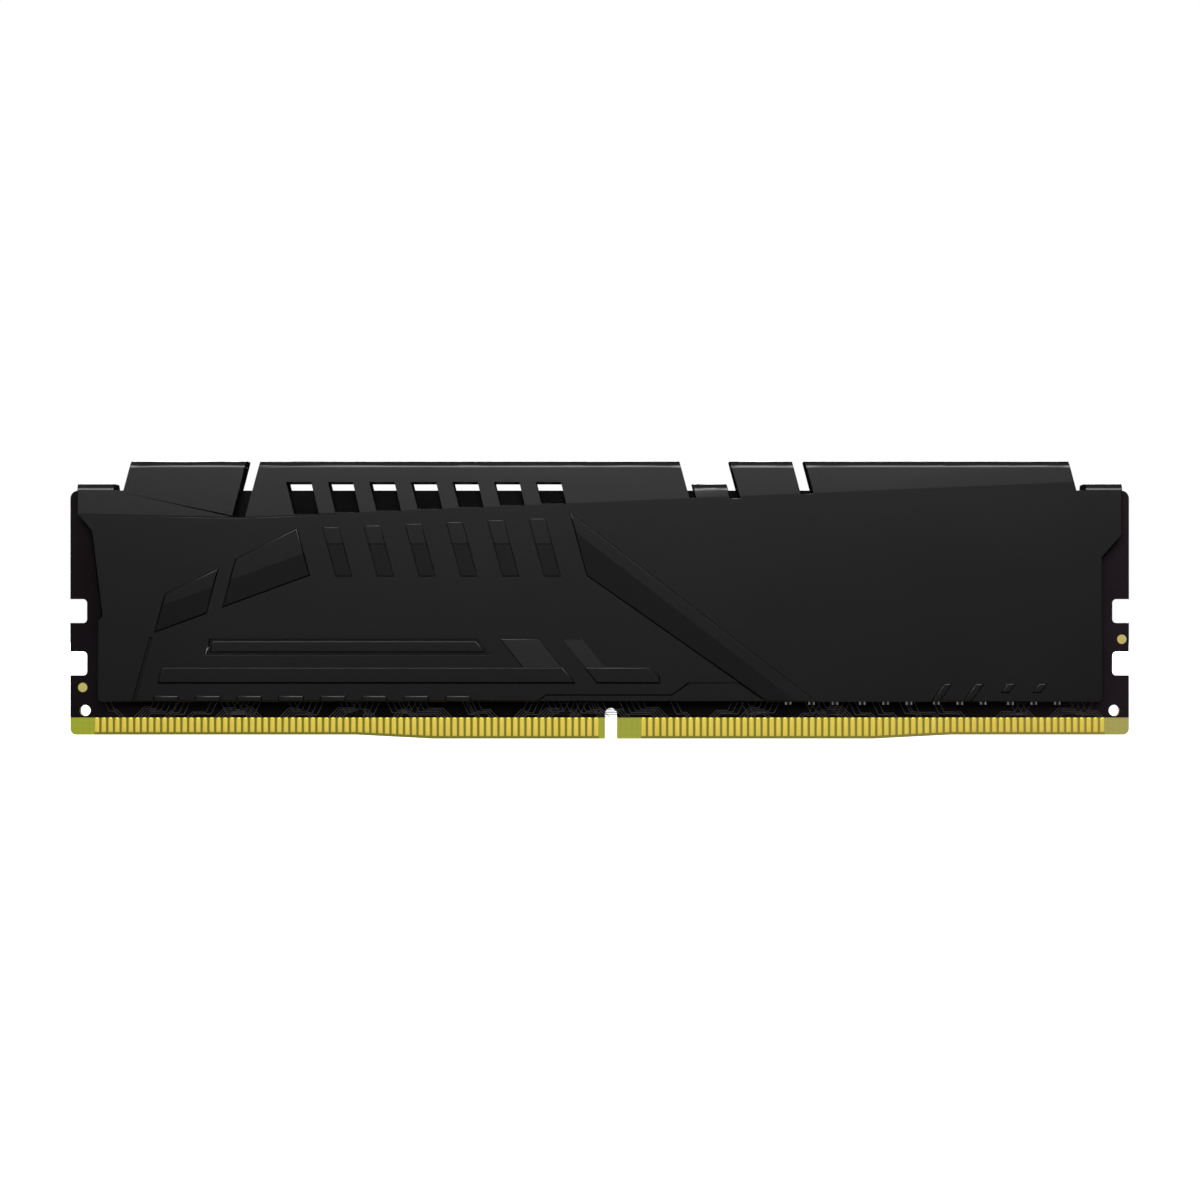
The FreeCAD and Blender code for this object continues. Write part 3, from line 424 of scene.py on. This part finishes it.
def easing_room(edge):
    """Widest easing an edge can take: a share of the way to the nearest corner of its faces.

    Each corner is dropped square onto the edge's line, held between the edge's ends. The share
    is four fifths, or two fifths where the edge across the face is eased as well. There is no
    room where two edges of a face run together in a narrow corner.
    """
    start, end = (np.array(vertex.co) for vertex in edge.verts)
    along = end - start
    rooms = []
    for face in edge.link_faces:
        for other in face.edges:
            if other is edge:
                continue
            for corner in set(other.verts) & set(edge.verts):
                arms = [arm.other_vert(corner).co - corner.co for arm in (edge, other)]
                if arms[0].angle(arms[1]) < NARROW_CORNER:
                    return 0.0
            corners = [vertex.co[:] for vertex in other.verts if vertex not in edge.verts]
            offsets = np.array(corners) - start
            places = offsets @ along / (along @ along)
            beside = places.min() < 0.98 and places.max() > 0.02
            shared = beside and other.calc_face_angle_signed(0.0) > EASED_FROM
            nearest = np.clip(places, 0.0, 1.0)
            away = np.linalg.norm(offsets - nearest[:, None] * along, axis=1).min()
            rooms.append(away * (OPEN_SHARE / 2 if shared else OPEN_SHARE))
    return min(rooms)


def corner_room(corner):
    """Distance from a corner to the nearest edge of its faces that doesn't meet it."""
    place = np.array(corner.co)
    rooms = [1.0]
    for face in corner.link_faces:
        for edge in face.edges:
            if corner not in edge.verts:
                start, end = (np.array(vertex.co) for vertex in edge.verts)
                along = end - start
                share = np.clip((place - start) @ along / (along @ along), 0.0, 1.0)
                rooms.append(np.linalg.norm(place - start - share * along))
    return min(rooms)


def eased_copy(name, label, ease, material):
    """Copy of a machined piece with its sharp edges eased, standing for that piece.

    A face's breadth is its area over its longest side. Narrow walls are first cleared of the
    flat edges that cut them up. Outer edges are eased as far as they and the corners at their
    ends have room. An edge stays soft where it only divides a curved surface into strips.
    """
    shape = bmesh.new()
    shape.from_mesh(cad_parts[name].data)
    bmesh.ops.remove_doubles(shape, verts=shape.verts, dist=0.0000005)
    nearly_flat = math.radians(0.03)
    bmesh.ops.dissolve_limit(shape, angle_limit=nearly_flat, verts=shape.verts, edges=shape.edges)
    flat = [
        edge for edge in shape.edges
        if edge.calc_face_angle(1.0) < math.radians(0.01)
        and min(face.calc_area() / face.calc_perimeter() for face in edge.link_faces) < NARROW_WALL / 2
    ]
    bmesh.ops.dissolve_edges(shape, edges=flat, use_verts=False)
    breadth = {}
    for face in shape.faces:
        breadth[face] = face.calc_area() / max(edge.calc_length() for edge in face.edges)
    weight = shape.edges.layers.float.new("bevel_weight_edge")
    for face in shape.faces:
        face.smooth = True
    for edge in shape.edges:
        angle = math.degrees(edge.calc_face_angle(0.0))
        narrow = min(breadth[face] for face in edge.link_faces)
        curved = angle < 30 and narrow < NARROW_WALL
        edge.smooth = angle < 0.7 or curved
        if EASED_FROM < edge.calc_face_angle_signed(0.0) < EASED_TO and narrow > THINNEST_EASED:
            ends = [OPEN_SHARE * corner_room(corner) for corner in edge.verts]
            edge[weight] = min(ease, easing_room(edge), *ends) / ease
    mesh = bpy.data.meshes.new(label)
    shape.to_mesh(mesh)
    shape.free()
    mesh.materials.append(material)
    piece = bpy.data.objects.new(label, mesh)
    bpy.context.scene.collection.objects.link(piece)
    bevel = piece.modifiers.new("eased edges", "BEVEL")
    bevel.width = ease
    bevel.segments = 3
    bevel.limit_method = "WEIGHT"
    bevel.use_clamp_overlap = False
    bevel.face_strength_mode = "FSTR_NEW"
    normals = piece.modifiers.new("flat faces", "WEIGHTED_NORMAL")
    normals.mode = "FACE_AREA"
    normals.keep_sharp = True
    normals.use_face_influence = True
    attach(piece, "root")
    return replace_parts(piece, name)


def speckled_finish(name, low, high, grain, rough, **constants):
    """Fine-grained solid colour between two shades, with a matching fine bump."""
    finish = Finish(name, **constants)
    specks = finish.noise(grain, 3.0)
    clouds = finish.noise(grain / 12, 2.0)
    colour = finish.mix((specks * 0.6 + clouds * 0.4).clipped(), (*low, 1), (*high, 1))
    rough = specks * 0.15 + (rough - 0.07)
    return finish.show(Base_Color=colour, Roughness=rough, height=specks, depth=0.000004)


RESIN = speckled_finish("moulded_resin", (0.012, 0.012, 0.013), (0.03, 0.03, 0.032), 9000.0, 0.55)
FERRITE = speckled_finish("pressed_iron_powder", (0.06, 0.06, 0.065), (0.14, 0.14, 0.15), 12000.0, 0.6)
TAN_CERAMIC = speckled_finish("tan_ceramic", (0.30, 0.19, 0.10), (0.45, 0.32, 0.19), 15000.0, 0.45)
BLACK_CERAMIC = speckled_finish("black_ceramic", (0.015, 0.015, 0.018), (0.04, 0.04, 0.045), 15000.0, 0.35)
TIN = speckled_finish("tin_plate", (0.62, 0.62, 0.60), (0.85, 0.85, 0.83), 11000.0, 0.33, metallic=0.3)

SMALL_PARTS = [
    ("memory_chip", 0.00008, RESIN, "chip_resin"),
    ("voltage_controller", 0.00006, RESIN, "chip_resin"),
    ("identity_hub", 0.00005, RESIN, "chip_resin"),
    ("power_inductor", 0.00025, FERRITE, "inductor_core"),
    ("bulk_capacitors", 0.00008, TAN_CERAMIC, "capacitor_ceramic"),
    ("capacitors_", 0.00005, TAN_CERAMIC, "capacitor_ceramic"),
    ("damping_resistors", 0.00003, BLACK_CERAMIC, "resistor_ceramic"),
]
for name in sorted(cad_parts):
    for start, ease, material, slot in SMALL_PARTS:
        if name.startswith(start):
            if name.endswith("_ends"):
                material, slot = TIN, "solder"
            eased_copy(name, "eased_" + name, ease, material)
            break
for face in ("front", "rear"):
    coat_node("solder_balls_" + face, TIN)

# ----------------------------------------------------------------- thermal pads
# Soft grey silicone sheets, squeezed between the parts and the spreader, so their free
# edges bulge out between the two faces that press them.


def pressed_pad(low, high, bulge):
    """Slab whose rim bulges: rings round a rectangle, pushed out by the sine of the height angle."""
    steps = np.linspace(0.0, 1.0, 7)
    along = np.linspace(0.0, 1.0, 24, endpoint=False)
    width, depth, tall = (high[i] - low[i] for i in range(3))
    edge = along * 4
    side = np.floor(edge).astype(int)
    part = edge - side
    rim_x = np.choose(side, [part, np.ones(24), 1 - part, np.zeros(24)])
    rim_z = np.choose(side, [np.zeros(24), part, np.ones(24), 1 - part])
    push = np.sin(np.pi * steps)[:, None] * bulge
    ripple = 1.0 + 0.25 * np.sin(along * 2 * np.pi * 7)[None, :]
    x = low[0] + rim_x[None, :] * width + (rim_x[None, :] - 0.5) * 2 * push * ripple
    z = low[2] + rim_z[None, :] * tall + (rim_z[None, :] - 0.5) * 2 * push * ripple
    y = np.broadcast_to(low[1] + steps[:, None] * depth, x.shape)
    points = np.stack([x, y, z], axis=-1).reshape(-1, 3)
    here = np.arange(24)
    there = (here + 1) % 24
    walls = [np.stack([here, there, there + 24, here + 24], axis=1) + 24 * ring for ring in range(6)]
    return points, np.vstack(walls)


SILICONE = speckled_finish("grey_silicone", (0.16, 0.17, 0.19), (0.25, 0.26, 0.28), 6000.0, 0.7)
PAD_INSET = np.array((0.0003, 0.0, 0.0003))
PAD_BULGE = 0.00012
for name in sorted(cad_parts):
    if name.startswith("thermal_pad"):
        low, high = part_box(name)
        low = np.array(low) + PAD_INSET
        high = np.array(high) - PAD_INSET
        points, faces = pressed_pad(low, high, PAD_BULGE)
        pad_mesh = new_piece("pressed_" + name, points, faces, SILICONE)
        shape = bmesh.new()
        shape.from_mesh(pad_mesh.data)
        bmesh.ops.holes_fill(shape, edges=[edge for edge in shape.edges if edge.is_boundary])
        bmesh.ops.recalc_face_normals(shape, faces=shape.faces)
        shape.to_mesh(pad_mesh.data)
        shape.free()
        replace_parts(pad_mesh, name)

# ----------------------------------------------------------------- heat spreader
# Two aluminium sheets, stamped with their raised pattern, folded over the board's top edge
# and coated black. The fine satin coat rounds every edge a little.


def coating_finish():
    """Black satin coat: very fine grain, with slightly cloudier gloss over large areas."""
    finish = Finish("black_satin_coat", specular_ior_level=0.6)
    grain = finish.noise(14000.0, 2.0)
    clouds = finish.noise(60.0, 3.0)
    colour = finish.mix(clouds, (0.0005, 0.0005, 0.0005, 1), (0.0010, 0.0010, 0.0010, 1))
    rough = grain * 0.03 + clouds * 0.02 + 0.26
    return finish.show(Base_Color=colour, Roughness=rough, height=grain, depth=0.0000015)


COAT = coating_finish()
SHEET_EASE = 0.00016
for face in ("front", "rear"):
    name = "heat_spreader_" + face
    eased_copy(name, "stamped_spreader_" + face, SHEET_EASE, COAT)

# ----------------------------------------------------------------- studio
# Plain white floor and surroundings. A softbox stands high in front with its twin behind; low
# cards send a faint glow up the sheets, and broad fills reach the board without a highlight.


def soft_light(name, place, aim, size, power):
    """Large rectangular light that faces a point."""
    lamp = bpy.data.lights.new(name, "AREA")
    lamp.shape = "RECTANGLE"
    lamp.size, lamp.size_y = size
    lamp.energy = power
    holder = bpy.data.objects.new(name, lamp)
    holder.location = place
    holder.rotation_euler = (Vector(aim) - Vector(place)).to_track_quat("-Z", "Y").to_euler()
    bpy.context.scene.collection.objects.link(holder)
    return holder


AIM = (0.0, 0.0, 0.0175)
soft_light("overhead_softbox", (0.0, -0.14, 1.02), AIM, (1.6, 1.25), 1.9)
for side, turn in (("front", -1), ("rear", 1)):
    soft_light(side + "_softbox", (0.0, turn * 0.902, 0.449), AIM, (0.6, 0.36), 5.5)
    soft_light(side + "_table_glow", (0.0, turn * 0.90, -0.41), AIM, (2.0, 0.35), 0.8)
    fill = soft_light(side + "_fill", (0.0, turn * 1.0, 0.15), AIM, (0.8, 0.8), 4.3)
    fill.visible_glossy = False

REACH = 4.0
corners = [(-REACH, -REACH, 0), (REACH, -REACH, 0), (REACH, REACH, 0), (-REACH, REACH, 0)]
floor_mesh = bpy.data.meshes.new("floor")
floor_mesh.from_pydata(corners, [], [(0, 1, 2, 3)])
floor = bpy.data.objects.new("floor", floor_mesh)
bpy.context.scene.collection.objects.link(floor)
white = Finish("studio_white", roughness=0.9, base_color=(0.9, 0.9, 0.9, 1), emission_strength=1.0)
white.shader.inputs["Emission Color"].default_value = (1, 1, 1, 1)
floor_mesh.materials.append(white.material)
floor.visible_diffuse = False
floor.visible_glossy = False
floor.visible_shadow = False

world = bpy.data.worlds.new("studio")
bpy.context.scene.world = world
world.use_nodes = True
world.node_tree.nodes["Background"].inputs["Color"].default_value = (1, 1, 1, 1)
world.node_tree.nodes["Background"].inputs["Strength"].default_value = 1.0
world.cycles_visibility.diffuse = False
world.cycles_visibility.glossy = False
bpy.context.scene.view_settings.view_transform = "Standard"

CAMERA_DISTANCE = 0.46
CAMERA_HEIGHT = 0.017465
FOCAL_LENGTH = 109.4
SENSOR_WIDTH = 36.0
lens = bpy.data.cameras.new("camera")
lens.lens = FOCAL_LENGTH
lens.sensor_width = SENSOR_WIDTH
lens.clip_start = 0.01
camera = bpy.data.objects.new("camera", lens)
camera.location = (0.00004, -CAMERA_DISTANCE, CAMERA_HEIGHT)
camera.rotation_euler = (math.radians(90), 0, 0)
bpy.context.scene.collection.objects.link(camera)
bpy.context.scene.camera = camera
